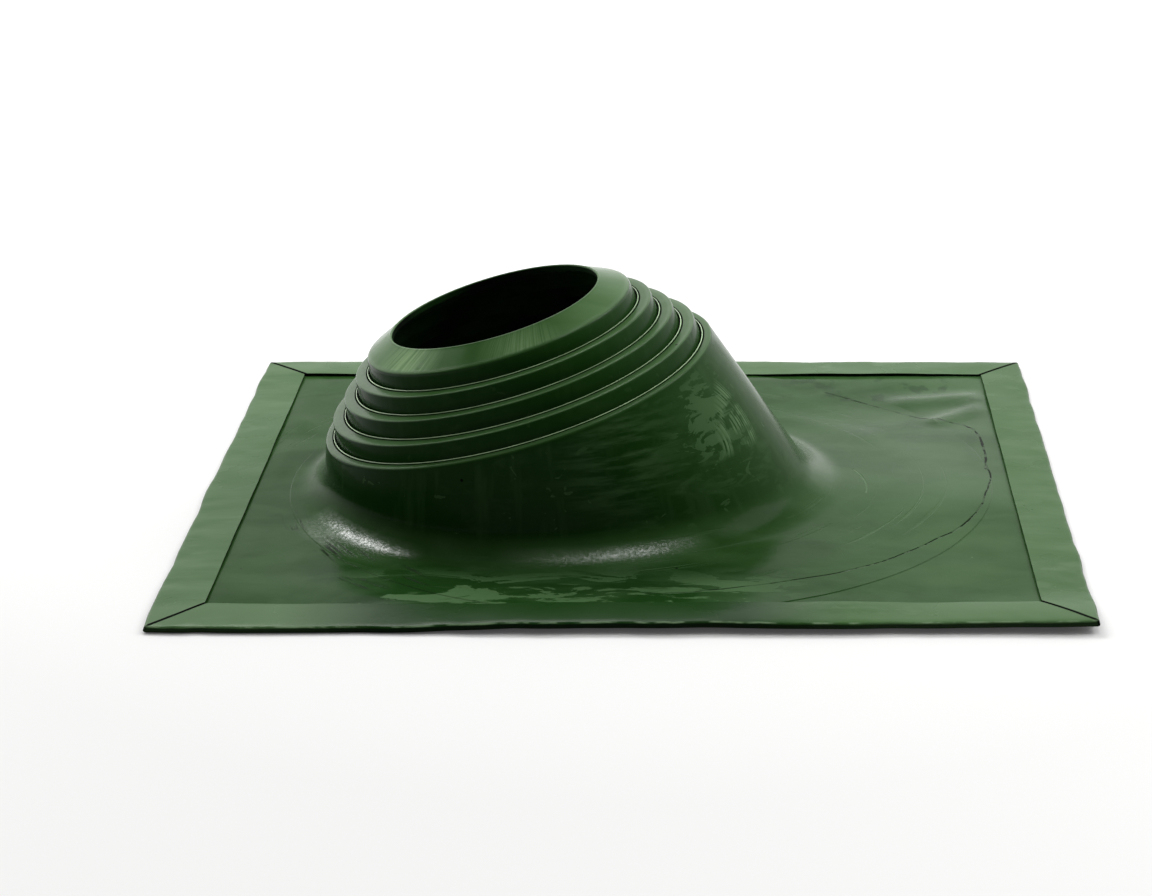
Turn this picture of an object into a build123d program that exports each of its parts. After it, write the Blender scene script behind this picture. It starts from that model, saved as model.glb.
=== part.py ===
from build123d import *
import math
import os

# Pipe flashing boot for a roof, in millimetres.
# The base lies flat on the XY plane with its centre at the origin, its long side along X and +Z up.
# The pipe axis leans towards -X. Heights along it are counted from its foot on the XY plane.

# Base: a rubber skirt whose margin is held in a hem of soft sheet metal
BASE_LENGTH = 620.0
BASE_DEPTH = 530.0
SHEET_THICKNESS = 0.7
HEM_WIDTH = 34.0
UNDER_LEG_WIDTH = 42.0
MITRE_GAP = 1.0
SKIRT_THICKNESS = 3.0
SKIRT_EDGE_CLEARANCE = 0.3

# Raised round field of the moulding on the skirt
FIELD_CENTRE_X = 6.0
FIELD_HALF_LENGTH = 257.0
FIELD_HALF_DEPTH = 245.0
FIELD_HEIGHT = 0.5
FIELD_HEM_CLEARANCE = 1.0

# Stepped collars and cap, turned about the leaning pipe axis
LEAN = 15.0
AXIS_FOOT_X = -62.2
WALL = 3.0
COLLAR_DIAMETERS = (275.0, 250.0, 225.0, 200.0)
COLLAR_DRAFT = 1.5
FIRST_LEDGE_HEIGHT = 83.0
STEP_HEIGHT = 12.8
CAP_WALL_HEIGHT = 11.5
CAP_BEVEL_HEIGHT = 10.0
OPENING_RADIUS = 77.0
OPENING_WALL_LENGTH = 4.0
LIP_EDGE_WIDTH = 1.5
SHOULDER_BEVEL = 0.8
BEAD_HEIGHT = 0.6
BEAD_WIDTH = 1.4

# Hood: a straight-sided skin from the leaning rim down to an egg-shaped foot
HOOD_RIM_RADIUS = 146.0
FOOT_CENTRE_X = -75.0
FOOT_LOW_REACH = 152.0
FOOT_HIGH_REACH = 210.0
FOOT_HALF_DEPTH = 154.0
FOOT_FILLET = 18.0
INNER_FOOT_BEVEL = 12.0

# Levels and heights that follow from the sizes above
SKIRT_UNDERSIDE = SHEET_THICKNESS
SKIRT_TOP = SKIRT_UNDERSIDE + SKIRT_THICKNESS
FIELD_TOP = SKIRT_TOP + FIELD_HEIGHT
FOLD_RADIUS = (SKIRT_THICKNESS + 2 * SHEET_THICKNESS) / 2
CAP_SHOULDER_HEIGHT = FIRST_LEDGE_HEIGHT + (len(COLLAR_DIAMETERS) - 1) * STEP_HEIGHT + CAP_WALL_HEIGHT
OPENING_HEIGHT = CAP_SHOULDER_HEIGHT + CAP_BEVEL_HEIGHT


def ring_plane(height):
    """The plane across the leaning axis, at a height along it."""
    lean = math.radians(LEAN)
    along = Vector(-math.sin(lean), 0, math.cos(lean))
    across = Vector(math.cos(lean), 0, math.sin(lean))
    return Plane(origin=Vector(AXIS_FOOT_X, 0, 0) + along * height, x_dir=across, z_dir=along)


def ledge_height(step):
    return FIRST_LEDGE_HEIGHT + step * STEP_HEIGHT


def foot_outline(inset):
    """The hood's foot seen from above: two half ellipses that share their depth."""
    depth = FOOT_HALF_DEPTH - inset
    high_end = EllipticalCenterArc((0, 0), FOOT_HIGH_REACH - inset, depth, -90, arc_size=180)
    low_end = EllipticalCenterArc((0, 0), FOOT_LOW_REACH - inset, depth, 90, arc_size=180)
    return Pos(FOOT_CENTRE_X, 0, SKIRT_UNDERSIDE - inset) * Wire([high_end, low_end])


def rim_outline(inset):
    """The hood's rim across the leaning axis, in the same two halves as the foot."""
    radius = HOOD_RIM_RADIUS - inset
    high_half = CenterArc((0, 0), radius, -90, 180)
    low_half = CenterArc((0, 0), radius, 90, 180)
    return ring_plane(FIRST_LEDGE_HEIGHT - inset).location * Wire([high_half, low_half])


def hood_core(inset):
    """The filled hood: every line of its side is straight, from the foot up to the rim."""
    return loft([Face(foot_outline(inset)), Face(rim_outline(inset))], ruled=True)


def collar_steps(inset):
    """Corners of the collars from the first ledge to the cap's shoulder, as radius and height."""
    steps = []
    for step, diameter in enumerate(COLLAR_DIAMETERS):
        is_cap = step == len(COLLAR_DIAMETERS) - 1
        wall_foot = ledge_height(step)
        wall_top = CAP_SHOULDER_HEIGHT if is_cap else ledge_height(step + 1)
        steps.append((diameter / 2 - inset, wall_foot - inset))
        steps.append((diameter / 2 - COLLAR_DRAFT - inset, wall_top - inset))
    return steps


def turned(corners):
    """A solid turned about the leaning axis from its half section, given as radius and height."""
    section = make_face(Polyline(*[(radius, height, 0) for radius, height in corners], close=True))
    return ring_plane(0).location * (Rot(90, 0, 0) * revolve(section, Axis.Y))


def stepped_cone():
    """The outside of the four collars and the bevelled cap, filled, with a bead at each wall foot."""
    steps = collar_steps(0)
    start = FIRST_LEDGE_HEIGHT - WALL
    corners = [(0, start), (steps[0][0] + BEAD_WIDTH, start)]
    for (foot_radius, foot_height), (top_radius, top_height) in zip(steps[::2], steps[1::2]):
        corners += [
            (foot_radius + BEAD_WIDTH, foot_height),
            (foot_radius + BEAD_WIDTH / 2, foot_height + BEAD_HEIGHT),
            (foot_radius, foot_height),
            (top_radius, top_height - SHOULDER_BEVEL),
            (top_radius - SHOULDER_BEVEL, top_height),
        ]
    corners += [(OPENING_RADIUS + LIP_EDGE_WIDTH, OPENING_HEIGHT), (0, OPENING_HEIGHT)]
    return turned(corners)


def stepped_hollow():
    """The inside of the collars and the cap, with the round opening through it."""
    steps = collar_steps(WALL)
    start = FIRST_LEDGE_HEIGHT - 2 * WALL
    bore_foot = OPENING_HEIGHT - OPENING_WALL_LENGTH
    corners = [(0, start), (steps[0][0], start)] + steps
    corners += [(OPENING_RADIUS, bore_foot), (OPENING_RADIUS, OPENING_HEIGHT + WALL)]
    corners += [(0, OPENING_HEIGHT + WALL)]
    return turned(corners)


def foot_edges(joined, level):
    """The curved edges where the hood meets the slab it rises from."""
    return [
        edge for edge in joined.edges()
        if abs(edge.bounding_box().min.Z - level) < 0.01
        and abs(edge.bounding_box().max.Z - level) < 0.01
        and edge.geom_type == GeomType.BSPLINE
    ]


def field():
    """The raised round field of the skirt, cut straight where it meets the hem."""
    half_length = BASE_LENGTH / 2 - HEM_WIDTH - FIELD_HEM_CLEARANCE
    half_depth = BASE_DEPTH / 2 - HEM_WIDTH - FIELD_HEM_CLEARANCE
    round_part = Pos(FIELD_CENTRE_X, 0) * Ellipse(FIELD_HALF_LENGTH, FIELD_HALF_DEPTH)
    outline = round_part & Rectangle(2 * half_length, 2 * half_depth)
    return Pos(0, 0, SKIRT_UNDERSIDE) * extrude(outline, SKIRT_THICKNESS + FIELD_HEIGHT)


def rubber_boot():
    """The moulding: its filled outside less its inside, which stands off by the wall."""
    edge_inset = FOLD_RADIUS + SKIRT_EDGE_CLEARANCE
    skirt = Pos(0, 0, SKIRT_UNDERSIDE) * Box(
        BASE_LENGTH - 2 * edge_inset,
        BASE_DEPTH - 2 * edge_inset,
        SKIRT_THICKNESS,
        align=(Align.CENTER, Align.CENTER, Align.MIN),
    )
    outside = skirt + field() + hood_core(0)
    outside = fillet(foot_edges(outside, FIELD_TOP), FOOT_FILLET) + stepped_cone()
    below = Pos(0, 0, SKIRT_UNDERSIDE) * Box(
        2 * BASE_LENGTH, 2 * BASE_DEPTH, 2 * WALL, align=(Align.CENTER, Align.CENTER, Align.MAX)
    )
    inside = below + hood_core(WALL)
    inside = chamfer(foot_edges(inside, SKIRT_UNDERSIDE), INNER_FOOT_BEVEL) + stepped_hollow()
    return outside - inside


def hem_section():
    """The folded sheet in section, measured inwards from the base's outer edge."""
    hem_top = 2 * FOLD_RADIUS
    hem_underside = hem_top - SHEET_THICKNESS
    outer_fold = ThreePointArc((FOLD_RADIUS, 0), (0, FOLD_RADIUS), (FOLD_RADIUS, hem_top))
    hem = Polyline(
        (FOLD_RADIUS, hem_top),
        (HEM_WIDTH, hem_top),
        (HEM_WIDTH, hem_underside),
        (FOLD_RADIUS, hem_underside),
    )
    inner_fold = ThreePointArc(
        (FOLD_RADIUS, hem_underside), (SHEET_THICKNESS, FOLD_RADIUS), (FOLD_RADIUS, SHEET_THICKNESS)
    )
    under_leg = Polyline(
        (FOLD_RADIUS, SHEET_THICKNESS),
        (UNDER_LEG_WIDTH, SHEET_THICKNESS),
        (UNDER_LEG_WIDTH, 0),
        (FOLD_RADIUS, 0),
    )
    return make_face([outer_fold, hem, inner_fold, under_leg])


def hem_side(side_length, side_offset):
    """One side's folded sheet along X, with its outer edge at -Y and both ends cut at 45 degrees."""
    end_plane = Plane(origin=(-side_length / 2, 0, 0), x_dir=(0, 1, 0), z_dir=(1, 0, 0))
    bar = extrude(end_plane.location * hem_section(), side_length)
    half = side_length / 2
    reach = max(HEM_WIDTH, UNDER_LEG_WIDTH)
    outline = Polyline((-half, 0), (half, 0), (half - reach, reach), (reach - half, reach), close=True)
    mitred = extrude(make_face(outline), 2 * FOLD_RADIUS)
    return Pos(0, -side_offset, 0) * (bar & mitred)


def edge_frame():
    """The sheet, folded back over the skirt on all four sides, with a slit at each mitre."""
    half_length, half_depth = BASE_LENGTH / 2, BASE_DEPTH / 2
    long_side = hem_side(BASE_LENGTH, half_depth)
    short_side = Rot(0, 0, 90) * hem_side(BASE_DEPTH, half_length)
    half_turn = Rot(0, 0, 180)
    sheet = long_side + short_side + half_turn * long_side + half_turn * short_side
    slit = Pos(0, 0, SHEET_THICKNESS) * Box(
        3 * HEM_WIDTH, MITRE_GAP, 2 * FOLD_RADIUS, align=(Align.CENTER, Align.CENTER, Align.MIN)
    )
    for x_side in (-1, 1):
        for y_side in (-1, 1):
            corner = Pos(x_side * half_length, y_side * half_depth, 0)
            sheet = sheet - corner * Rot(0, 0, 45 * x_side * y_side) * slit
    return sheet


os.makedirs("parts", exist_ok=True)
export_step(rubber_boot(), "parts/rubber_boot.step")
export_step(edge_frame(), "parts/edge_frame.step")
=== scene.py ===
import math

import bmesh
import bpy
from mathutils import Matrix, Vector, noise


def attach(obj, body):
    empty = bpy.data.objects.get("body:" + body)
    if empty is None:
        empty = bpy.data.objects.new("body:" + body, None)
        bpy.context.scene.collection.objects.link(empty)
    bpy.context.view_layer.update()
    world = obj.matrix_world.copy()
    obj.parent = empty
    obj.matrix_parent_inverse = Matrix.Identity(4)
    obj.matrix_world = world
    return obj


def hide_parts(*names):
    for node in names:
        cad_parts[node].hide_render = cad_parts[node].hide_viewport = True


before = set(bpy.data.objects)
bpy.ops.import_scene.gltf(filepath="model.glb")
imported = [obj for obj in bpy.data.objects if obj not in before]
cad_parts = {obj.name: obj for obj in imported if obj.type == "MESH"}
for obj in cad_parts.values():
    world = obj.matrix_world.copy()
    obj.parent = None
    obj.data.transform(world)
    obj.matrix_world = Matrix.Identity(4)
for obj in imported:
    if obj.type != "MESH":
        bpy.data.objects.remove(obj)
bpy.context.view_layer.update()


# Camera: a long lens that looks slightly down on the front long side, as the boot was photographed.
# The picture is a crop from one side of a wider frame, so the lens is shifted and not turned.
IMAGE_WIDTH = 1152
FOCAL_PIXELS = 2739.68
LENS_AXIS_PIXEL = 724.81
LOOK_DOWN = math.radians(20.638)
CAMERA_PLACE = (0.06695, -1.88458, 0.73847)

camera_data = bpy.data.cameras.new("camera")
camera_data.sensor_width = 36
camera_data.lens = FOCAL_PIXELS / IMAGE_WIDTH * camera_data.sensor_width
camera_data.shift_x = (IMAGE_WIDTH / 2 - LENS_AXIS_PIXEL) / IMAGE_WIDTH
camera = bpy.data.objects.new("camera", camera_data)
camera.location = CAMERA_PLACE
camera.rotation_euler = (math.pi / 2 - LOOK_DOWN, 0, 0)
bpy.context.scene.collection.objects.link(camera)
bpy.context.scene.camera = camera
bpy.context.scene.view_settings.view_transform = "Standard"


# Floor: a seamless white studio sheet, matt, on which the boot lies.
# Where it is seen or mirrored it is lifted to white, and it keeps the boot's shadow.
FLOOR_HALF_WIDTH = 8.0
FLOOR_COLOUR = (0.74, 0.74, 0.735, 1)
FLOOR_LIFT = 0.05
FAR_FLOOR_LIFT = 0.78


def add_node(tree, kind, **values):
    """One node, with its settings and socket values by name; a list sets a socket by its number."""
    node = tree.nodes.new(kind)
    for name, value in values.items():
        if name == "sockets":
            for socket, socket_value in value.items():
                node.inputs[socket].default_value = socket_value
        else:
            setattr(node, name, value)
    return node


def new_material(name):
    """An empty node material, with its tree and output node."""
    material = bpy.data.materials.new(name)
    material.use_nodes = True
    material.node_tree.nodes.clear()
    return material, material.node_tree, material.node_tree.nodes.new("ShaderNodeOutputMaterial")


def math_node(tree, operation, *inputs, clamp=False):
    """A Math node whose inputs are numbers or other nodes' outputs; gives its output."""
    node = add_node(tree, "ShaderNodeMath", operation=operation, use_clamp=clamp)
    for socket, value in zip(node.inputs, inputs):
        if isinstance(value, (int, float)):
            socket.default_value = value
        else:
            tree.links.new(value, socket)
    return node.outputs[0]


bpy.ops.object.select_all(action="DESELECT")
bpy.ops.mesh.primitive_plane_add(size=2 * FLOOR_HALF_WIDTH, location=(0, 0, 0))
floor = bpy.context.object
floor.name = "floor"
floor_material, tree, output = new_material("studio_floor")
matt = add_node(tree, "ShaderNodeBsdfDiffuse", sockets={"Color": FLOOR_COLOUR})
lift = add_node(tree, "ShaderNodeEmission", sockets={"Color": (1, 1, 1, 1)})
both = add_node(tree, "ShaderNodeAddShader")
ray = add_node(tree, "ShaderNodeLightPath")
seen = math_node(tree, "ADD", ray.outputs["Is Camera Ray"], ray.outputs["Is Glossy Ray"])
seen = math_node(tree, "ADD", seen, ray.outputs["Is Transmission Ray"], clamp=True)
far = add_node(tree, "ShaderNodeVectorMath", operation="LENGTH")
tree.links.new(add_node(tree, "ShaderNodeTexCoord").outputs["Object"], far.inputs[0])
distance = add_node(tree, "ShaderNodeMapRange", sockets={
    "From Min": 0.5, "From Max": 2.6, "To Min": FLOOR_LIFT, "To Max": FAR_FLOOR_LIFT})
tree.links.new(far.outputs["Value"], distance.inputs["Value"])
tree.links.new(math_node(tree, "MULTIPLY", seen, distance.outputs[0]), lift.inputs["Strength"])
tree.links.new(matt.outputs[0], both.inputs[0])
tree.links.new(lift.outputs[0], both.inputs[1])
tree.links.new(both.outputs[0], output.inputs["Surface"])
floor.data.materials.append(floor_material)


# Light: a white room that is bright behind and beside the boot and dim behind the camera.
# One soft box hangs over the boot, and a second one high up to the left behind it.
ROOM_BACK = 1.55
ROOM_FRONT = 0.07
ROOM_TOP = 0.18

world = bpy.data.worlds.new("studio")
world.use_nodes = True
bpy.context.scene.world = world
tree = world.node_tree
tree.nodes.clear()
direction = add_node(tree, "ShaderNodeTexCoord").outputs["Generated"]
parts = add_node(tree, "ShaderNodeSeparateXYZ")
tree.links.new(direction, parts.inputs[0])
facing = add_node(tree, "ShaderNodeMapRange", interpolation_type="SMOOTHSTEP",
                  sockets={"From Min": -0.55, "From Max": 0.35, "To Min": ROOM_FRONT, "To Max": ROOM_BACK})
tree.links.new(parts.outputs["Y"], facing.inputs["Value"])
height = add_node(tree, "ShaderNodeMapRange", interpolation_type="SMOOTHSTEP",
                  sockets={"From Min": 0.45, "From Max": 0.85, "To Min": 0.0, "To Max": 1.0})
tree.links.new(parts.outputs["Z"], height.inputs["Value"])
strength = add_node(tree, "ShaderNodeMix", data_type="FLOAT", sockets={3: ROOM_TOP})
tree.links.new(height.outputs[0], strength.inputs[0])
tree.links.new(facing.outputs[0], strength.inputs[2])
room = add_node(tree, "ShaderNodeBackground", sockets={"Color": (1, 1, 1, 1)})
tree.links.new(strength.outputs[0], room.inputs["Strength"])
tree.links.new(room.outputs[0], tree.nodes.new("ShaderNodeOutputWorld").inputs["Surface"])


def soft_box(name, place, aim, width, length, power):
    """A rectangular lamp at a place, turned to face a point."""
    data = bpy.data.lights.new(name, "AREA")
    data.shape = "RECTANGLE"
    data.size = width
    data.size_y = length
    data.energy = power
    lamp = bpy.data.objects.new(name, data)
    lamp.location = place
    lamp.rotation_euler = (Vector(aim) - Vector(place)).to_track_quat("-Z", "Y").to_euler()
    bpy.context.scene.collection.objects.link(lamp)


soft_box("overhead_box", (0.34, -0.02, 1.45), (0.20, -0.10, 0), 0.90, 0.20, 5.5)
soft_box("back_box", (-0.50, 1.25, 1.52), (0, 0, 0.05), 1.0, 0.5, 21)
soft_box("left_back_box", (-0.90, 0.82, 1.14), (-0.185, -0.10, 0.03), 0.42, 0.50, 6.5)
soft_box("right_box", (1.20, 0.40, 1.25), (0.05, 0, 0.06), 0.9, 0.8, 12.5)


# Boot: one moulding of glossy green rubber, from the flat skirt up through the hood to the lip.
# It comes out of one mould: four collars turned about the leaning pipe axis stand on the hood,
# each with a fine bead at its foot, and the cap is bevelled up to the opening.
LEAN = math.radians(15)
AXIS_FOOT_X = -0.0622
WALL = 0.003
RING_POINTS = 240
COLLAR_RADII = (0.1375, 0.125, 0.1125, 0.100)
COLLAR_DRAFT = 0.0015
FIRST_LEDGE = 0.083
STEP_HEIGHT = 0.0128
CAP_WALL = 0.0115
CAP_BEVEL = 0.010
OPENING_RADIUS = 0.077
BORE_LENGTH = 0.004
LIP_WIDTH = 0.0015
SHOULDER_RADIUS = 0.0011
CAP_SHOULDER_RADIUS = 0.0022
BEAD_RADIUS = 0.0007
GROOVE_DEPTH = 0.0007
HOOD_RIM_RADIUS = 0.146
HOOD_SHOULDER_RADIUS = 0.0022
FOOT_CENTRE_X = -0.075
FOOT_LOW_REACH = 0.152
FOOT_HIGH_REACH = 0.210
FOOT_HALF_DEPTH = 0.154
FOOT_FILLET = 0.021
HOOD_ROWS = 14
SKIRT_ROWS = 30
MARGIN_ROWS = 14
SKIRT_UNDERSIDE = 0.0007
SKIRT_TOP = SKIRT_UNDERSIDE + WALL
FIELD_TOP = SKIRT_TOP + 0.0005
FIELD_CENTRE_X = 0.006
FIELD_HALF_LENGTH = 0.257
FIELD_HALF_DEPTH = 0.245
FIELD_STEP_WIDTH = 0.0008
SKIRT_HALF_LENGTH = 0.3075
SKIRT_HALF_DEPTH = 0.2625
CAP_SHOULDER = FIRST_LEDGE + 3 * STEP_HEIGHT + CAP_WALL
OPENING_HEIGHT = CAP_SHOULDER + CAP_BEVEL


def corner_arc(centre, radius, first_angle, last_angle, points):
    """Points of a rounded corner in the half section, as radius from the axis and height."""
    step = (last_angle - first_angle) / (points - 1)
    angles = [math.radians(first_angle + i * step) for i in range(points)]
    return [(centre[0] + radius * math.cos(a), centre[1] + radius * math.sin(a)) for a in angles]


def ledge_with_bead(outer_radius, wall_foot_radius, height):
    """From a shoulder in over the flat ledge, a groove, the bead and a second groove to the wall."""
    bead_centre = wall_foot_radius + 2.0 * BEAD_RADIUS
    points = [((outer_radius + 2 * bead_centre) / 3, height)]
    points += [(bead_centre + 1.8 * BEAD_RADIUS, height), (bead_centre + 1.1 * BEAD_RADIUS, height - GROOVE_DEPTH)]
    points += corner_arc((bead_centre, height), BEAD_RADIUS, 0, 180, 5)
    points += [(wall_foot_radius + 0.4 * BEAD_RADIUS, height - GROOVE_DEPTH), (wall_foot_radius, height)]
    return points


def outer_section():
    """The half section from the hood's rim up the outside to the lip and down the bore."""
    rim = HOOD_RIM_RADIUS - HOOD_SHOULDER_RADIUS
    points = corner_arc((rim, FIRST_LEDGE - HOOD_SHOULDER_RADIUS), HOOD_SHOULDER_RADIUS, 0, 90, 5)
    outer = rim
    for step, radius in enumerate(COLLAR_RADII):
        ledge = FIRST_LEDGE + step * STEP_HEIGHT
        points += ledge_with_bead(outer, radius, ledge)
        if step < 3:
            top = ledge + STEP_HEIGHT
            outer = radius - COLLAR_DRAFT - SHOULDER_RADIUS
            points += [(radius - share * COLLAR_DRAFT, ledge + share * STEP_HEIGHT) for share in (0.10, 0.84)]
            points += corner_arc((outer, top - SHOULDER_RADIUS), SHOULDER_RADIUS, 6, 90, 5)
    cap = COLLAR_RADII[-1] - COLLAR_DRAFT
    bevel = math.degrees(math.atan2(CAP_BEVEL, cap - OPENING_RADIUS - LIP_WIDTH))
    centre = (cap - CAP_SHOULDER_RADIUS, CAP_SHOULDER - CAP_SHOULDER_RADIUS * math.tan(math.radians(45 - bevel / 2)))
    points += [(radius - share * COLLAR_DRAFT, ledge + share * CAP_WALL) for share in (0.10, 0.80)]
    points += corner_arc(centre, CAP_SHOULDER_RADIUS, 4, 90 - bevel, 6)
    lip_foot = OPENING_RADIUS + LIP_WIDTH
    points += [(cap + share * (lip_foot - cap), CAP_SHOULDER + share * CAP_BEVEL) for share in (0.14, 0.92)]
    points += [(lip_foot + 0.0006, OPENING_HEIGHT - 0.0003), (lip_foot, OPENING_HEIGHT + 0.0002)]
    points += [(OPENING_RADIUS + 0.0004, OPENING_HEIGHT + 0.0002), (OPENING_RADIUS, OPENING_HEIGHT - 0.0004)]
    points += [(OPENING_RADIUS, OPENING_HEIGHT - BORE_LENGTH)]
    return points


def inner_section():
    """The half section inside: under the bevel and down the stepped walls to the hood's inner rim."""
    points = [(COLLAR_RADII[-1] - COLLAR_DRAFT - WALL, CAP_SHOULDER - WALL)]
    for step in (3, 2, 1, 0):
        ledge = FIRST_LEDGE + step * STEP_HEIGHT - WALL
        points += [(COLLAR_RADII[step] - WALL, ledge)]
        if step > 0:
            points += [(COLLAR_RADII[step - 1] - COLLAR_DRAFT - WALL, ledge)]
    points += [(HOOD_RIM_RADIUS - WALL, FIRST_LEDGE - WALL)]
    return points


def select_by(obj, test):
    """In edit mode, selects the vertices that pass a test on their place, with the edges between them."""
    bpy.ops.mesh.select_all(action="DESELECT")
    mesh = bmesh.from_edit_mesh(obj.data)
    for vertex in mesh.verts:
        vertex.select = bool(test(vertex.co))
    mesh.select_flush(True)
    bmesh.update_edit_mesh(obj.data)


def select_open_loops(obj, test):
    """In edit mode, selects the open edges whose ends pass a test on their place."""
    bpy.ops.mesh.select_all(action="DESELECT")
    mesh = bmesh.from_edit_mesh(obj.data)
    for edge in mesh.edges:
        if len(edge.link_faces) < 2 and all(test(vertex.co) for vertex in edge.verts):
            edge.select_set(True)
    bmesh.update_edit_mesh(obj.data)


def place_object(obj, place, turn):
    """Puts a piece in its place and leaves the place in its mesh."""
    obj.location = place
    obj.rotation_euler = turn
    bpy.ops.object.transform_apply(location=True, rotation=True, scale=True)


def turned_rings(obj, section):
    """Draws the selected ring out through each point of a section, as a lathe would."""
    for (radius, height), (next_radius, next_height) in zip(section, section[1:]):
        rise = next_height - height
        share = next_radius / radius
        bpy.ops.mesh.extrude_edges_move(TRANSFORM_OT_translate={"value": (0, 0, rise)})
        bpy.ops.transform.resize(value=(share, share, 1), center_override=(0, 0, next_height))


collar_section = outer_section() + inner_section()
bpy.ops.object.select_all(action="DESELECT")
bpy.ops.mesh.primitive_circle_add(vertices=RING_POINTS, radius=collar_section[0][0],
                                  location=(0, 0, collar_section[0][1]))
boot = bpy.context.object
boot.name = "rubber_moulding"
bpy.ops.object.transform_apply(location=True, rotation=True, scale=True)
bpy.ops.object.mode_set(mode="EDIT")
bpy.ops.mesh.select_all(action="SELECT")
turned_rings(boot, collar_section)
bpy.ops.object.mode_set(mode="OBJECT")
place_object(boot, (AXIS_FOOT_X, 0, 0), (0, -LEAN, 0))


def foot_ring(obj, inset, level):
    """An egg-shaped ring: a round one whose low and high halves are drawn out by their own reach."""
    bpy.ops.mesh.select_all(action="DESELECT")
    centre = (FOOT_CENTRE_X, 0, level)
    depth = FOOT_HALF_DEPTH - inset
    bpy.ops.mesh.primitive_circle_add(vertices=RING_POINTS, radius=depth, location=centre)
    for side, reach in ((-1, FOOT_LOW_REACH), (1, FOOT_HIGH_REACH)):
        select_by(obj, lambda p: abs(p.z - level) < 1e-6 and side * (p.x - FOOT_CENTRE_X) > 1e-6)
        bpy.ops.transform.resize(value=((reach - inset) / depth, 1, 1), center_override=centre)


def bridge(obj, test, cuts=0):
    """Joins two open loops that pass the test with a skin that has some rows across it."""
    select_open_loops(obj, test)
    bpy.ops.mesh.bridge_edge_loops(number_cuts=cuts, interpolation="LINEAR")


def along_axis(p):
    """How far up the leaning pipe axis a point lies."""
    return -(p.x - AXIS_FOOT_X) * math.sin(LEAN) + p.z * math.cos(LEAN)


def at_rim(radius, level):
    """A test for the ring of the leaning rim at a radius and a level along the axis."""
    def test(p):
        across = math.hypot((p.x - AXIS_FOOT_X) * math.cos(LEAN) + p.z * math.sin(LEAN), p.y)
        return abs(along_axis(p) - level) < 1e-5 and abs(across - radius) < 1e-5
    return test


def at_level(level, test=lambda p: True):
    return lambda p: abs(p.z - level) < 1e-6 and test(p)


def either(first, second):
    return lambda p: first(p) or second(p)


def straight_border(obj, half_length, half_depth, level, long_cuts, short_cuts):
    """A loop of four straight sides, each cut into even lengths."""
    bpy.ops.mesh.select_all(action="DESELECT")
    bpy.ops.mesh.primitive_plane_add(size=2, location=(0, 0, level))
    bpy.ops.transform.resize(value=(half_length, half_depth, 1), center_override=(0, 0, level))
    bpy.ops.mesh.delete(type="ONLY_FACE")
    for across, half, cuts in ((1, half_depth, long_cuts), (0, half_length, short_cuts)):
        bpy.ops.mesh.select_all(action="DESELECT")
        mesh = bmesh.from_edit_mesh(obj.data)
        for edge in mesh.edges:
            ends = [vertex.co for vertex in edge.verts]
            on_side = all(abs(abs(p[across]) - half) < 1e-6 and abs(p.z - level) < 1e-6 for p in ends)
            if on_side and not edge.link_faces and abs(ends[0][across] - ends[1][across]) < 1e-6:
                edge.select_set(True)
        bmesh.update_edit_mesh(obj.data)
        bpy.ops.mesh.subdivide(number_cuts=cuts)


def on_oval(centre_x, low_reach, high_reach, half_depth):
    """A test for the ring whose two half ellipses share their depth."""
    def test(p):
        reach = high_reach if p.x > centre_x else low_reach
        return abs(math.hypot((p.x - centre_x) / reach, p.y / half_depth) - 1) < 1e-4
    return test


def add_rows(obj, first, second, rows):
    """Cuts rows across the edges that run from one ring to another."""
    bpy.ops.mesh.select_all(action="DESELECT")
    mesh = bmesh.from_edit_mesh(obj.data)
    for edge in mesh.edges:
        start, end = (vertex.co for vertex in edge.verts)
        if (first(start) and second(end)) or (first(end) and second(start)):
            edge.select_set(True)
    bmesh.update_edit_mesh(obj.data)
    bpy.ops.mesh.subdivide(number_cuts=rows, quadcorner="STRAIGHT_CUT")


def spread_to_border(obj):
    """Moves the selected ring straight out from the field's centre to the skirt's border."""
    mesh = bmesh.from_edit_mesh(obj.data)
    ring = [vertex for vertex in mesh.verts if vertex.select]
    for vertex in ring:
        out = vertex.co - Vector((FIELD_CENTRE_X, 0, vertex.co.z))
        side = math.copysign(SKIRT_HALF_LENGTH, out.x) - FIELD_CENTRE_X
        share = min(side / out.x if abs(out.x) > 1e-9 else 1e9, SKIRT_HALF_DEPTH / max(abs(out.y), 1e-9))
        vertex.co.x = FIELD_CENTRE_X + share * out.x
        vertex.co.y = share * out.y
    for x in (-SKIRT_HALF_LENGTH, SKIRT_HALF_LENGTH):
        for y in (-SKIRT_HALF_DEPTH, SKIRT_HALF_DEPTH):
            nearest = min(ring, key=lambda vertex: math.hypot(vertex.co.x - x, vertex.co.y - y))
            nearest.co.x, nearest.co.y = x, y
    bmesh.update_edit_mesh(obj.data)


outer_rim = at_rim(collar_section[0][0], collar_section[0][1])
inner_rim = at_rim(collar_section[-1][0], collar_section[-1][1])
on_foot = at_level(FIELD_TOP, on_oval(FOOT_CENTRE_X, FOOT_LOW_REACH, FOOT_HIGH_REACH, FOOT_HALF_DEPTH))
on_field_edge = at_level(FIELD_TOP, on_oval(FIELD_CENTRE_X, FIELD_HALF_LENGTH, FIELD_HALF_LENGTH, FIELD_HALF_DEPTH))

bpy.ops.object.mode_set(mode="EDIT")
foot_ring(boot, 0, FIELD_TOP)
bridge(boot, either(outer_rim, at_level(FIELD_TOP)))
foot_ring(boot, WALL, SKIRT_UNDERSIDE)
bridge(boot, either(inner_rim, at_level(SKIRT_UNDERSIDE)))

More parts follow.
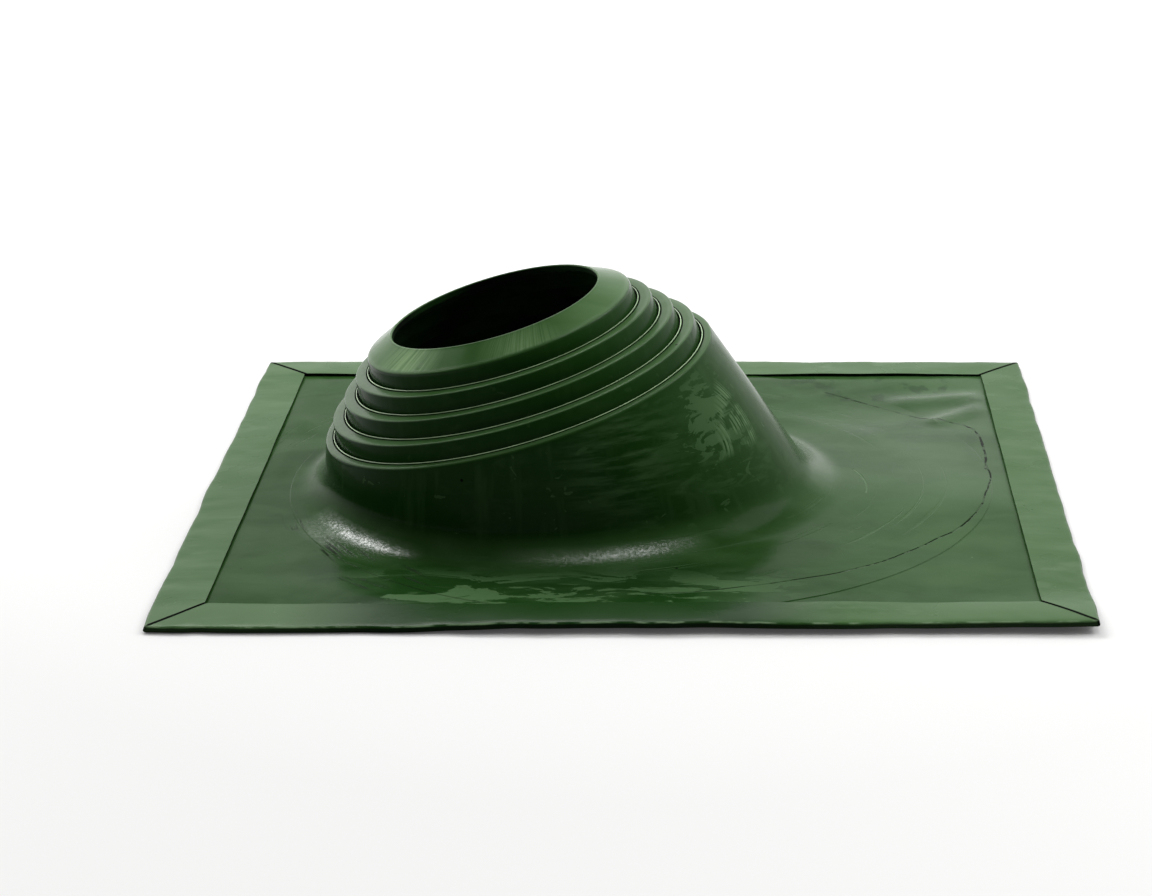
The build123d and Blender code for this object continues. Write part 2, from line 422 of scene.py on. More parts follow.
bpy.ops.mesh.select_all(action="DESELECT")
field_centre = (FIELD_CENTRE_X, 0, FIELD_TOP)
bpy.ops.mesh.primitive_circle_add(vertices=RING_POINTS, radius=1, location=field_centre)
bpy.ops.transform.resize(value=(FIELD_HALF_LENGTH, FIELD_HALF_DEPTH, 1), center_override=field_centre)
bridge(boot, at_level(FIELD_TOP))
select_by(boot, on_foot)
bpy.ops.mesh.bevel(offset=FOOT_FILLET, offset_type="OFFSET", segments=12, profile=0.5, affect="EDGES")
add_rows(boot, outer_rim, lambda p: along_axis(p) < FIRST_LEDGE - 2 * HOOD_SHOULDER_RADIUS, HOOD_ROWS)
add_rows(boot, on_field_edge, at_level(FIELD_TOP, lambda p: not on_field_edge(p)), SKIRT_ROWS)

select_by(boot, on_field_edge)
bpy.ops.mesh.extrude_edges_move(TRANSFORM_OT_translate={"value": (0, 0, SKIRT_TOP - FIELD_TOP)})
grown = 1 + FIELD_STEP_WIDTH / FIELD_HALF_LENGTH
bpy.ops.transform.resize(value=(grown, grown, 1), center_override=(FIELD_CENTRE_X, 0, SKIRT_TOP))
bpy.ops.mesh.extrude_edges_move(TRANSFORM_OT_translate={"value": (0, 0, 0)})
spread_to_border(boot)
on_border = lambda p: max(abs(p.x) - SKIRT_HALF_LENGTH, abs(p.y) - SKIRT_HALF_DEPTH) > -1e-6
add_rows(boot, at_level(SKIRT_TOP, on_border), at_level(SKIRT_TOP, lambda p: not on_border(p)), MARGIN_ROWS)
select_by(boot, at_level(SKIRT_TOP, on_border))
bpy.ops.mesh.extrude_edges_move(TRANSFORM_OT_translate={"value": (0, 0, SKIRT_UNDERSIDE - SKIRT_TOP)})
bridge(boot, at_level(SKIRT_UNDERSIDE))
inner_foot = on_oval(FOOT_CENTRE_X, FOOT_LOW_REACH - WALL, FOOT_HIGH_REACH - WALL, FOOT_HALF_DEPTH - WALL)
select_by(boot, at_level(SKIRT_UNDERSIDE, inner_foot))
bpy.ops.mesh.bevel(offset=FOOT_FILLET + WALL, offset_type="OFFSET", segments=8, profile=0.5, affect="EDGES")
under_border = at_level(SKIRT_UNDERSIDE, on_border)
add_rows(boot, under_border, at_level(SKIRT_UNDERSIDE, lambda p: not on_border(p)), SKIRT_ROWS)
bpy.ops.mesh.select_all(action="SELECT")
bpy.ops.mesh.remove_doubles(threshold=1e-6)
bpy.ops.mesh.normals_make_consistent(inside=False)
bpy.ops.object.mode_set(mode="OBJECT")
bpy.ops.object.shade_smooth_by_angle(angle=math.radians(32))


def smooth(low, high, value):
    """0 below low, 1 above high and an even curve between them."""
    share = max(0.0, min(1.0, (value - low) / (high - low)))
    return share * share * (3 - 2 * share)


def ridge(p, start, end, width):
    """1 on the line from start to end, fading out over a width."""
    run = Vector(end) - Vector(start)
    at = Vector((p.x, p.y)) - Vector(start)
    share = max(0.0, min(1.0, at.dot(run) / run.length_squared))
    return math.exp(-((at - share * run).length / width) ** 2)


def margin_lift(p):
    """How far the pressed margin stands off the floor: along the front edge and at its right corner."""
    front = smooth(-0.205, -0.265, p.y) * smooth(-0.16, -0.05, p.x)
    wave = 0.75 + 0.25 * noise.noise(Vector((p.x * 9, 0, 3.1)))
    corner = smooth(0.20, 0.31, p.x) * smooth(-0.15, -0.265, p.y)
    back = smooth(0.19, 0.265, p.y) * (0.5 + 0.5 * noise.noise(Vector((p.x * 7, 1.7, 0))))
    return FRONT_LIFT * front * wave + CORNER_LIFT * corner + BACK_LIFT * back


FRONT_LIFT = 0.0042
CORNER_LIFT = 0.0012
BACK_LIFT = 0.0012
SWELL = 0.0011
# Ridges and dents in millimetres: start, end, width, height
PUCKERS = (
    ((231, 122), (269, 156), 7, 2.2),
    ((205, 190), (262, 198), 10, -1.5),
    ((212, 168), (266, 180), 12, 2.3),
    ((-278, 170), (-262, 120), 7, 1.0),
    ((-262, 90), (-245, 84), 8, -0.9),
    ((-268, 62), (-262, 20), 10, 0.8),
    ((120, 128), (175, 92), 14, 0.7),
    ((-215, -195), (-150, -222), 12, 0.6),
)


def skirt_shape(p):
    """The skirt's swells and puckers at a place, clear of the hood's foot and of the hem."""
    reach = FOOT_HIGH_REACH if p.x > FOOT_CENTRE_X else FOOT_LOW_REACH
    from_foot = math.hypot((p.x - FOOT_CENTRE_X) / reach, p.y / FOOT_HALF_DEPTH)
    free = smooth(1.16, 1.45, from_foot)
    inside = smooth(0.030, 0.048, min(HALF_LENGTH - abs(p.x), HALF_DEPTH - abs(p.y)))
    swell = 0.5 + 0.5 * noise.noise(Vector((p.x * 11, p.y * 11, 0)))
    swell += 0.22 * noise.noise(Vector((p.x * 31, p.y * 31, 4.2)))
    puckers = sum(
        height * ridge(p, (start[0] / 1000, start[1] / 1000), (end[0] / 1000, end[1] / 1000), width / 1000)
        for start, end, width, height in PUCKERS
    )
    return free * inside * max(0.0, SWELL * swell) + inside * puckers / 1000


HALF_LENGTH = 0.310
HALF_DEPTH = 0.265
for vertex in boot.data.vertices:
    if vertex.co.z < FIELD_TOP + 1e-5:
        vertex.co.z += max(0.0, skirt_shape(vertex.co)) + margin_lift(vertex.co)


def place_nodes(tree):
    """The piece's own coordinates, whole and by axis."""
    place = add_node(tree, "ShaderNodeTexCoord").outputs["Object"]
    parts = add_node(tree, "ShaderNodeSeparateXYZ")
    tree.links.new(place, parts.inputs[0])
    return place, parts.outputs[0], parts.outputs[1], parts.outputs[2]


def noise_at(tree, place, scale, detail=3.0, stretch=(1, 1, 1), roughness=0.5, distortion=0.0):
    """Noise on a place, drawn out along its axes; gives a value about 0.5."""
    mapping = add_node(tree, "ShaderNodeMapping", sockets={"Scale": stretch})
    tree.links.new(place, mapping.inputs["Vector"])
    texture = add_node(tree, "ShaderNodeTexNoise", sockets={
        "Scale": scale, "Detail": detail, "Roughness": roughness, "Distortion": distortion})
    tree.links.new(mapping.outputs[0], texture.inputs["Vector"])
    return texture.outputs["Fac"]


def mapped(tree, value, from_low, from_high, to_low=0.0, to_high=1.0, smooth_step=False):
    """A value carried from one range to another and held inside it."""
    kind = "SMOOTHSTEP" if smooth_step else "LINEAR"
    node = add_node(tree, "ShaderNodeMapRange", interpolation_type=kind, sockets={
        "From Min": from_low, "From Max": from_high, "To Min": to_low, "To Max": to_high})
    tree.links.new(value, node.inputs["Value"])
    return node.outputs[0]


def mixed_colour(tree, share, first, second):
    """A colour between two, which are colours or other nodes' outputs."""
    node = add_node(tree, "ShaderNodeMix", data_type="RGBA")
    tree.links.new(share, node.inputs["Factor"])
    for socket, value in ((node.inputs[6], first), (node.inputs[7], second)):
        if isinstance(value, tuple):
            socket.default_value = (*value, 1)
        else:
            tree.links.new(value, socket)
    return node.outputs[2]


def bumped(tree, height, distance, strength=1.0, under=None):
    """A bump whose height is 0 to 1 over a distance in metres; gives the normal."""
    node = add_node(tree, "ShaderNodeBump", sockets={"Strength": strength, "Distance": distance})
    tree.links.new(height, node.inputs["Height"])
    if under is not None:
        tree.links.new(under, node.inputs["Normal"])
    return node.outputs[0]


DEEP_GREEN = (0.0060, 0.030, 0.0040)
DUSTY_AND_LIT_GREEN = (0.0195, 0.059, 0.0120)
BLOOM_GREEN = (0.060, 0.125, 0.048)
CLEAN_AND_SHADED_GREEN = (0.0095, 0.036, 0.0065)
DUST_AND_SHEEN_GREEN = (0.090, 0.165, 0.072)
DIRT_AND_SHADE_BLACK = (0.0020, 0.0040, 0.0015)
BEAD_HIGHLIGHT = (0.50, 0.70, 0.40)
INSIDE_SHADE_BLACK = (0.0010, 0.0020, 0.0008)
RUBBER_IOR = 1.09
PATCH_CENTRE = (0.058, -0.080, 0.078)
ARC_CENTRE = (0.050, -0.093, 0.060)
BRUSH_CENTRE = (0.000, -0.128, 0.072)
BACK_CREASE = (
    (0.2615, 0.0200), (0.2640, 0.0500), (0.2630, 0.0880), (0.2595, 0.1060),
    (0.2510, 0.1165), (0.2380, 0.1220), (0.2195, 0.1290), (0.1466, 0.1906),
)
# Painted sheen on the cap bevel: its colour, then each spot's centre, reach and strength.
BEVEL_SHEEN = (0.22, 0.34, 0.17)
BEVEL_SHEENS = (((-0.158, -0.066, 0.117), 0.034, 0.75), ((-0.073, -0.093, 0.136), 0.034, 0.35))


def lesser(tree, *values):
    """The product of several masks."""
    result = values[0]
    for value in values[1:]:
        result = math_node(tree, "MULTIPLY", result, value)
    return result


def greater(tree, *values):
    """The greatest of several masks."""
    result = values[0]
    for value in values[1:]:
        result = math_node(tree, "MAXIMUM", result, value)
    return result


def band(tree, value, low, high, soft):
    """1 where a value lies between two limits, fading out over a soft edge."""
    return lesser(tree, mapped(tree, value, low - soft, low), mapped(tree, value, high, high + soft, 1.0, 0.0))


def distance_from(tree, place, centre):
    node = add_node(tree, "ShaderNodeVectorMath", operation="DISTANCE", sockets={1: centre})
    tree.links.new(place, node.inputs[0])
    return node.outputs["Value"]


def oval_share(tree, along_x, along_y, centre, low_reach, high_reach, half_depth):
    """How far out a place lies from an egg's centre, as a share of the egg's own outline there."""
    off = math_node(tree, "SUBTRACT", along_x, centre[0])
    high = math_node(tree, "DIVIDE", math_node(tree, "MAXIMUM", off, 0), high_reach)
    low = math_node(tree, "DIVIDE", math_node(tree, "MINIMUM", off, 0), low_reach)
    depth = math_node(tree, "DIVIDE", math_node(tree, "SUBTRACT", along_y, centre[1]), half_depth)
    length = math_node(tree, "POWER", math_node(tree, "ADD", high, low), 2)
    return math_node(tree, "SQRT", math_node(tree, "ADD", length, math_node(tree, "POWER", depth, 2)))


def packed(tree, first, second, third=0.0):
    """Three values as one place."""
    node = add_node(tree, "ShaderNodeCombineXYZ")
    for socket, value in zip(node.inputs, (first, second, third)):
        if isinstance(value, (int, float)):
            socket.default_value = value
        else:
            tree.links.new(value, socket)
    return node.outputs[0]


def from_segment(tree, place, start, end):
    """How far a place lies from a straight line between two points on the skirt."""
    run = Vector((end[0] - start[0], end[1] - start[1], 0))
    off = add_node(tree, "ShaderNodeVectorMath", operation="SUBTRACT", sockets={1: (*start, 0)})
    tree.links.new(place, off.inputs[0])
    along = add_node(tree, "ShaderNodeVectorMath", operation="DOT_PRODUCT", sockets={1: run / run.length_squared})
    tree.links.new(off.outputs[0], along.inputs[0])
    foot = add_node(tree, "ShaderNodeVectorMath", operation="SCALE", sockets={0: run})
    tree.links.new(mapped(tree, along.outputs["Value"], 0.0, 1.0), foot.inputs["Scale"])
    apart = add_node(tree, "ShaderNodeVectorMath", operation="DISTANCE")
    tree.links.new(off.outputs[0], apart.inputs[0])
    tree.links.new(foot.outputs[0], apart.inputs[1])
    return apart.outputs["Value"]


rubber, tree, output = new_material("green_rubber_gloss")
place, along_x, along_y, along_z = place_nodes(tree)
surface = add_node(tree, "ShaderNodeBsdfPrincipled", sockets={"IOR": RUBBER_IOR})
normal = add_node(tree, "ShaderNodeSeparateXYZ")
tree.links.new(add_node(tree, "ShaderNodeTexCoord").outputs["Normal"], normal.inputs[0])
facing_up = mapped(tree, normal.outputs[2], 0.10, 0.70, smooth_step=True)
flat = mapped(tree, along_z, 0.012, 0.022, 1.0, 0.0)
wall = math_node(tree, "SUBTRACT", 1.0, flat)

# Where the steps meet, the grooves are painted near black, a painted shade, and the beads are painted pale green, a
# painted highlight
lean_x = math_node(tree, "SUBTRACT", along_x, AXIS_FOOT_X)
level = math_node(tree, "SUBTRACT", math_node(tree, "MULTIPLY", along_z, math.cos(LEAN)),
                  math_node(tree, "MULTIPLY", lean_x, math.sin(LEAN)))
across = math_node(tree, "ADD", math_node(tree, "MULTIPLY", lean_x, math.cos(LEAN)),
                   math_node(tree, "MULTIPLY", along_z, math.sin(LEAN)))
radius = math_node(tree, "SQRT", math_node(tree, "ADD", math_node(tree, "POWER", across, 2),
                                           math_node(tree, "POWER", along_y, 2)))
step = math_node(tree, "DIVIDE", math_node(tree, "SUBTRACT", level, FIRST_LEDGE), STEP_HEIGHT)
step = math_node(tree, "ROUND", step)
wall_foot = math_node(tree, "SUBTRACT", COLLAR_RADII[0], math_node(tree, "MULTIPLY", step, 0.0125))
off_wall = math_node(tree, "SUBTRACT", radius, wall_foot)
off_ledge = math_node(tree, "SUBTRACT", level, math_node(tree, "ADD", FIRST_LEDGE, math_node(tree, "MULTIPLY", step, STEP_HEIGHT)))
stepped = lesser(tree, mapped(tree, level, 0.0800, 0.0810), mapped(tree, level, 0.1245, 0.1250, 1.0, 0.0))
groove = greater(tree, band(tree, off_wall, 0.0022, 0.0030, 0.0002), band(tree, off_wall, -0.0004, 0.0004, 0.0002))
groove = lesser(tree, groove, band(tree, off_ledge, -0.0012, 0.0002, 0.0001), stepped)
ledge = lesser(tree, band(tree, off_ledge, -0.0006, 0.0003, 0.0002), mapped(tree, off_wall, 0.0030, 0.0034), stepped)
shoulder = lesser(tree, band(tree, off_ledge, -0.0011, 0.0001, 0.0003), mapped(tree, off_wall, 0.0070, 0.0080), stepped)
bead = lesser(tree, band(tree, off_wall, 0.0006, 0.0020, 0.0003), mapped(tree, off_ledge, 0.0003, 0.0005), stepped)
bead = lesser(tree, bead, mapped(tree, noise_at(tree, place, 9, 4.0), 0.36, 0.62, 0.5, 1.0))

# Round the pipe axis the wiping hand leaves haze and streaks that follow the wall
turn = math_node(tree, "ARCTAN2", along_y, math_node(tree, "SUBTRACT", along_x, FOOT_CENTRE_X))
wrapped = packed(tree, turn, 0.0, along_z)
clouds = noise_at(tree, place, 7.5, 4.0)
haze = mapped(tree, noise_at(tree, wrapped, 1.0, 5.0, stretch=(5, 1, 70), roughness=0.6, distortion=0.5), 0.50, 0.66)
runs = mapped(tree, noise_at(tree, wrapped, 1.0, 3.0, stretch=(13, 1, 14)), 0.52, 0.68)
near_patch = mapped(tree, distance_from(tree, place, PATCH_CENTRE), 0.014, 0.056, 1.0, 0.0)
edged = noise_at(tree, wrapped, 1.0, 6.0, stretch=(5, 1, 105), roughness=0.6, distortion=1.0)
edged = math_node(tree, "ADD", edged, math_node(tree, "MULTIPLY", near_patch, 0.10))
patch = lesser(tree, near_patch, mapped(tree, edged, 0.585, 0.605))
blots = mapped(tree, noise_at(tree, wrapped, 1.0, 5.0, stretch=(9, 1, 75), distortion=0.9), 0.675, 0.685)
from_arcs = distance_from(tree, place, ARC_CENTRE)
rings = noise_at(tree, packed(tree, from_arcs, 0.0), 480, 1.0)
rings = lesser(tree, mapped(tree, rings, 0.47, 0.51), band(tree, from_arcs, 0.022, 0.056, 0.006),
               mapped(tree, along_x, 0.058, 0.066), mapped(tree, along_z, 0.052, 0.060),
               mapped(tree, noise_at(tree, place, 60, 2.0), 0.42, 0.52))
brush = lesser(tree, mapped(tree, distance_from(tree, place, BRUSH_CENTRE), 0.015, 0.065, 1.0, 0.0), 0.42,
               mapped(tree, noise_at(tree, wrapped, 1.0, 4.0, stretch=(3, 1, 150), roughness=0.6), 0.44, 0.60))
wall_smear = greater(tree, lesser(tree, haze, mapped(tree, clouds, 0.42, 0.60), 0.30), lesser(tree, runs, 0.14),
                     lesser(tree, patch, 0.72), lesser(tree, rings, 1.0), lesser(tree, blots, 0.35), brush)

# On the skirt, dull wiped patches with sharp edges lie in front of the hood, and fine scratches go round it
egg = oval_share(tree, along_x, along_y, (FOOT_CENTRE_X, 0), FOOT_LOW_REACH, FOOT_HIGH_REACH, FOOT_HALF_DEPTH)
wipes = noise_at(tree, place, 15, 6.0, stretch=(1, 2.6, 1), roughness=0.62, distortion=1.1)
in_front = lesser(tree, mapped(tree, along_y, -0.165, -0.195), band(tree, along_x, -0.170, 0.080, 0.05))
front_wipes = lesser(tree, in_front, mapped(tree, wipes, 0.505, 0.525))
soft_wipes = mapped(tree, noise_at(tree, place, 11, 5.0, stretch=(1, 2, 1), distortion=0.7), 0.45, 0.60)
turned_place = packed(tree, math_node(tree, "MULTIPLY", turn, 1.6), math_node(tree, "MULTIPLY", egg, 52))
scratches = mapped(tree, noise_at(tree, turned_place, 1.0, 2.5, roughness=0.6), 0.60, 0.66)
scratched = lesser(tree, mapped(tree, noise_at(tree, place, 6.0, 1.0), 0.47, 0.60), band(tree, egg, 1.06, 1.40, 0.1))
scratches = lesser(tree, scratches, scratched)
from_middle = distance_from(tree, place, (0.012, -0.012, 0.0042))
scuffs = noise_at(tree, packed(tree, from_middle, math_node(tree, "MULTIPLY", turn, 0.008)), 330, 2.0)
scuffs = lesser(tree, mapped(tree, scuffs, 0.50, 0.56), band(tree, from_middle, 0.222, 0.264, 0.006),
                mapped(tree, along_x, -0.150, -0.125, 1.0, 0.0), mapped(tree, along_y, -0.055, -0.080),
                mapped(tree, egg, 1.13, 1.18), mapped(tree, noise_at(tree, place, 21, 3.0), 0.42, 0.52))
flat_smear = greater(tree, lesser(tree, front_wipes, 0.80), lesser(tree, soft_wipes, 0.24), lesser(tree, scratches, 0.50))
hook = math_node(tree, "ABSOLUTE", math_node(tree, "SUBTRACT", distance_from(tree, place, (0.096, -0.014, 0.0042)), 0.075))
hook = lesser(tree, mapped(tree, hook, 0.0004, 0.0009, 1.0, 0.0), band(tree, along_y, -0.024, 0.018, 0.004),
              mapped(tree, along_x, 0.13, 0.14))
specks = add_node(tree, "ShaderNodeTexVoronoi", sockets={"Scale": 42.0})
tree.links.new(place, specks.inputs["Vector"])
chosen = add_node(tree, "ShaderNodeSeparateColor")
tree.links.new(specks.outputs["Color"], chosen.inputs[0])
specks_apart = specks.outputs["Distance"]
specks = lesser(tree, mapped(tree, specks_apart, 0.028, 0.045, 1.0, 0.0), mapped(tree, chosen.outputs[0], 0.90, 0.91))
hood = mapped(tree, level, 0.0780, 0.0800, 1.0, 0.30)
dark_specks = lesser(tree, mapped(tree, specks_apart, 0.035, 0.055, 1.0, 0.0), mapped(tree, chosen.outputs[1], 0.93, 0.94))
smear = greater(tree, lesser(tree, wall, wall_smear, hood), lesser(tree, flat, flat_smear), specks, lesser(tree, hook, 0.9))

rho = oval_share(tree, along_x, along_y, (0.010, 0.015), 0.254, 0.254, 0.225)
wobble = math_node(tree, "MULTIPLY", math_node(tree, "SUBTRACT", noise_at(tree, place, 13, 3.0), 0.5), 0.05)
rho = math_node(tree, "ABSOLUTE", math_node(tree, "SUBTRACT", math_node(tree, "ADD", rho, wobble), 1.0))
dashes = mapped(tree, noise_at(tree, place, 120, 2.0), 0.46, 0.52, 0.35, 1.0)
crease = lesser(tree, mapped(tree, rho, 0.0012, 0.0040, 1.0, 0.0), mapped(tree, along_x, -0.02, 0.06), flat,
                mapped(tree, along_y, 0.02, 0.04, 1.0, 0.0), dashes)
flat_place = packed(tree, along_x, along_y)
from_turn = [from_segment(tree, flat_place, start, end) for start, end in zip(BACK_CREASE, BACK_CREASE[1:])]
nearest = from_turn[0]
for apart in from_turn[1:]:
    nearest = math_node(tree, "MINIMUM", nearest, apart)
turn_width = mapped(tree, noise_at(tree, place, 90, 2.0), 0.40, 0.60, 0.0004, 0.0011)
back_crease = lesser(tree, math_node(tree, "LESS_THAN", nearest, turn_width), mapped(tree, along_x, 0.13, 0.22, 0.35, 1.0), dashes)
crease = greater(tree, crease, back_crease)
smudges = lesser(tree, flat, band(tree, along_y, 0.172, 0.224, 0.006), band(tree, along_x, 0.13, 0.262, 0.03), 0.60,
                 mapped(tree, noise_at(tree, place, 62, 3.0, stretch=(1, 0.6, 1)), 0.53, 0.60))

# Marks on the foot's fillet where the highlights fall: they carry coat, and they lighten the base colour there, a
# painted highlight.
left_highlight = lesser(tree, band(tree, along_z, 0.0064, 0.0080, 0.0040), band(tree, turn, -2.46, -2.20, 0.24))
front_highlight = lesser(tree, band(tree, along_z, 0.0080, 0.0105, 0.0045), band(tree, turn, -1.45, -1.02, 0.24))
right_rub = lesser(tree, band(tree, along_z, 0.0060, 0.0130, 0.004), band(tree, turn, 0.05, 0.40, 0.25), 0.30)
highlight_marks = lesser(tree, greater(tree, left_highlight, front_highlight), mapped(tree, egg, 1.18, 1.25, 1.0, 0.0))
# In front of the hood the skirt is painted a darker green: painted shade standing for the hood's shadow and its dark
# reflection there.
painted_front_shade = lesser(tree, flat, mapped(tree, along_y, -0.145, -0.175), band(tree, along_x, -0.18, 0.06, 0.07))
# Up-facing faces take the lighter green and walls the deep green: partly dust on the tops, partly painted shade on the
# walls.
base = mixed_colour(tree, facing_up, DEEP_GREEN, DUSTY_AND_LIT_GREEN)
base = mixed_colour(tree, painted_front_shade, base, CLEAN_AND_SHADED_GREEN)
mottles = mapped(tree, noise_at(tree, place, 28, 5.0, roughness=0.6), 0.46, 0.66, 0.0, 0.40)
base = mixed_colour(tree, lesser(tree, flat, mottles), base, CLEAN_AND_SHADED_GREEN)
bloom = lesser(tree, flat, mapped(tree, along_x, 0.10, 0.24), mapped(tree, clouds, 0.35, 0.60), 0.45)
base = mixed_colour(tree, bloom, base, BLOOM_GREEN)
base = mixed_colour(tree, smudges, base, DEEP_GREEN)
# Ledges are lightened with pale green, more towards the right and on the far left: partly dust, partly painted light
# where the ledges catch light, with painted highlights on the left ledges.
left_face = mapped(tree, along_x, -0.125, -0.165)
ledge_dust_and_light = greater(tree, mapped(tree, along_x, -0.14, 0.04, 0.12, 0.55), lesser(tree, left_face, 0.5))
ledge_dust_and_light = lesser(tree, ledge, ledge_dust_and_light, mapped(tree, clouds, 0.3, 0.7, 0.7, 1.0))
base = mixed_colour(tree, greater(tree, ledge_dust_and_light, lesser(tree, highlight_marks, 0.30)), base, DUST_AND_SHEEN_GREEN)
# The cap bevel is lightened away from its front middle towards both sides: painted light where the bevel catches the
# room's light, patchy with the wipes.
to_side = math_node(tree, "ABSOLUTE", math_node(tree, "ADD", along_x, 0.09))
bevel = lesser(tree, mapped(tree, level, 0.1325, 0.1335), mapped(tree, to_side, 0.02, 0.085, 0.10, 0.85),
               mapped(tree, soft_wipes, 0.0, 1.0, 0.75, 1.0))
# Streaked pale spots on the bevel, a painted sheen.
painted_sheen_spots = [mapped(tree, distance_from(tree, place, centre), 0.2 * reach, reach, share, 0.0)
         for centre, reach, share in BEVEL_SHEENS]
painted_sheen_spots = lesser(tree, greater(tree, *painted_sheen_spots), mapped(tree, level, 0.1335, 0.1345),
               mapped(tree, noise_at(tree, wrapped, 1.0, 3.0, stretch=(70, 1, 30), roughness=0.6), 0.36, 0.58, 0.25, 1.0))
base = mixed_colour(tree, smear, base, BLOOM_GREEN)
base = mixed_colour(tree, bevel, base, DUST_AND_SHEEN_GREEN)
base = mixed_colour(tree, painted_sheen_spots, base, BEVEL_SHEEN)
base = mixed_colour(tree, lesser(tree, rings, wall), base, DUST_AND_SHEEN_GREEN)
# Darkened to near black: scuffs and dark specks are dirt, the crease lines are darkened, and the grooves are painted
# shade.
dirt_and_shade = greater(tree, lesser(tree, crease, 0.9), lesser(tree, scuffs, flat, 0.75), dark_specks, groove)
base = mixed_colour(tree, dirt_and_shade, base, DIRT_AND_SHADE_BLACK)
base = mixed_colour(tree, bead, base, BEAD_HIGHLIGHT)
tree.links.new(base, surface.inputs["Base Color"])

gloss = math_node(tree, "ADD", mapped(tree, clouds, 0.3, 0.7, 0.13, 0.20), math_node(tree, "MULTIPLY", smear, 0.30))
tree.links.new(greater(tree, gloss, dirt_and_shade), surface.inputs["Roughness"])
rim = band(tree, level, CAP_SHOULDER - 0.0012, CAP_SHOULDER + 0.0010, 0.0010)
sparkle = mapped(tree, noise_at(tree, place, 430, 2.0), 0.38, 0.62, 0.35, 1.6)
polish = greater(tree, lesser(tree, highlight_marks, sparkle, 0.72), right_rub, lesser(tree, rim, 0.16), lesser(tree, bead, 0.5),
                 lesser(tree, ledge, left_face, 0.2), lesser(tree, shoulder, 0.12))
tree.links.new(polish, surface.inputs["Coat Weight"])
surface.inputs["Coat Roughness"].default_value = 0.17
swells = noise_at(tree, place, 38, 3.0)
grain = noise_at(tree, place, 900, 2.0)
relief = bumped(tree, swells, 0.0009, 0.35)
relief = bumped(tree, grain, 0.00012, 0.35, relief)
marks = math_node(tree, "SUBTRACT", 1.0, greater(tree, crease, lesser(tree, scratches, 0.6), hook, lesser(tree, scuffs, 0.3)))
relief = bumped(tree, marks, 0.0006, 0.6, relief)
tree.links.new(relief, surface.inputs["Normal"])
pebbles = noise_at(tree, place, 520, 3.0, roughness=0.7)
tree.links.new(bumped(tree, pebbles, 0.0006, 0.45, relief), surface.inputs["Coat Normal"])
tree.links.new(surface.outputs[0], output.inputs["Surface"])

# Inside the hood and underneath, the rubber is painted near black with dark green blotches: painted shade in the
# hollow.
painted_dark_inside, tree, output = new_material("green_rubber_inside")
place, along_x, along_y, along_z = place_nodes(tree)
surface = add_node(tree, "ShaderNodeBsdfPrincipled", sockets={"IOR": 1.12})
blotches = mapped(tree, noise_at(tree, place, 16, 4.0), 0.35, 0.7)
tree.links.new(mixed_colour(tree, blotches, INSIDE_SHADE_BLACK, DEEP_GREEN), surface.inputs["Base Color"])
tree.links.new(mapped(tree, blotches, 0, 1, 0.75, 0.6), surface.inputs["Roughness"])
tree.links.new(bumped(tree, noise_at(tree, place, 600, 3.0), 0.0002, 0.4), surface.inputs["Normal"])
tree.links.new(surface.outputs[0], output.inputs["Surface"])

boot.data.materials.clear()
boot.data.materials.append(rubber)
boot.data.materials.append(painted_dark_inside)
# Faces that look into the hollow or down get the near-black inside material, a painted shade.
for face in boot.data.polygons:
    height = along_axis(face.center)
    on_axis = Vector((AXIS_FOOT_X - height * math.sin(LEAN), 0, height * math.cos(LEAN)))
    inwards = face.normal.dot((face.center - on_axis).normalized()) < -0.2 and face.center.z > FIELD_TOP + 0.004
    if (inwards or face.normal.z < -0.3) and height < OPENING_HEIGHT - 0.0007:
        face.material_index = 1
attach(boot, "root")
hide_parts("rubber_boot")


# Edge frame: one soft metal sheet under the skirt's margin, painted green, folded back over it.
# The four hems are pressed down by hand, so they are wavy, stand off a little and part at the mitres.
SHEET = 0.0009
HEM_WIDTH = 0.034
UNDER_LEG_WIDTH = 0.042
FOLD_RADIUS = 0.0022
HEM_LIFT = 0.0007
MITRE_PARTING = 0.0009
LONG_CUTS, SHORT_CUTS = 123, 105

fold = [(UNDER_LEG_WIDTH, SHEET / 2), (FOLD_RADIUS, SHEET / 2)]
fold_arc = corner_arc((FOLD_RADIUS, FOLD_RADIUS + SHEET / 4), FOLD_RADIUS - SHEET / 4, -90, -270, 9)
fold += fold_arc[1:]
hem_top = fold_arc[-1][1]
fold += [(share * HEM_WIDTH, hem_top + HEM_LIFT * share) for share in (0.2, 0.4, 0.6, 0.8, 0.95, 1.0)]

bpy.ops.object.select_all(action="DESELECT")
bpy.ops.mesh.primitive_plane_add(size=2)
hem = bpy.context.object
hem.name = "folded_sheet"
bpy.ops.object.mode_set(mode="EDIT")
bpy.ops.mesh.select_all(action="SELECT")
bpy.ops.mesh.delete(type="VERT")
first_inset, first_level = fold[0]
straight_border(hem, HALF_LENGTH - first_inset, HALF_DEPTH - first_inset, first_level, LONG_CUTS, SHORT_CUTS)
bpy.ops.mesh.select_all(action="SELECT")
for (inset, level), (next_inset, next_level) in zip(fold, fold[1:]):
    bpy.ops.mesh.extrude_edges_move(TRANSFORM_OT_translate={"value": (0, 0, next_level - level)})
    bpy.ops.transform.resize(
        value=((HALF_LENGTH - next_inset) / (HALF_LENGTH - inset), (HALF_DEPTH - next_inset) / (HALF_DEPTH - inset), 1),
        center_override=(0, 0, next_level),
    )


def on_mitre(p):
    return abs((HALF_LENGTH - abs(p.x)) - (HALF_DEPTH - abs(p.y))) < 1e-5 and p.z > FOLD_RADIUS + 0.001


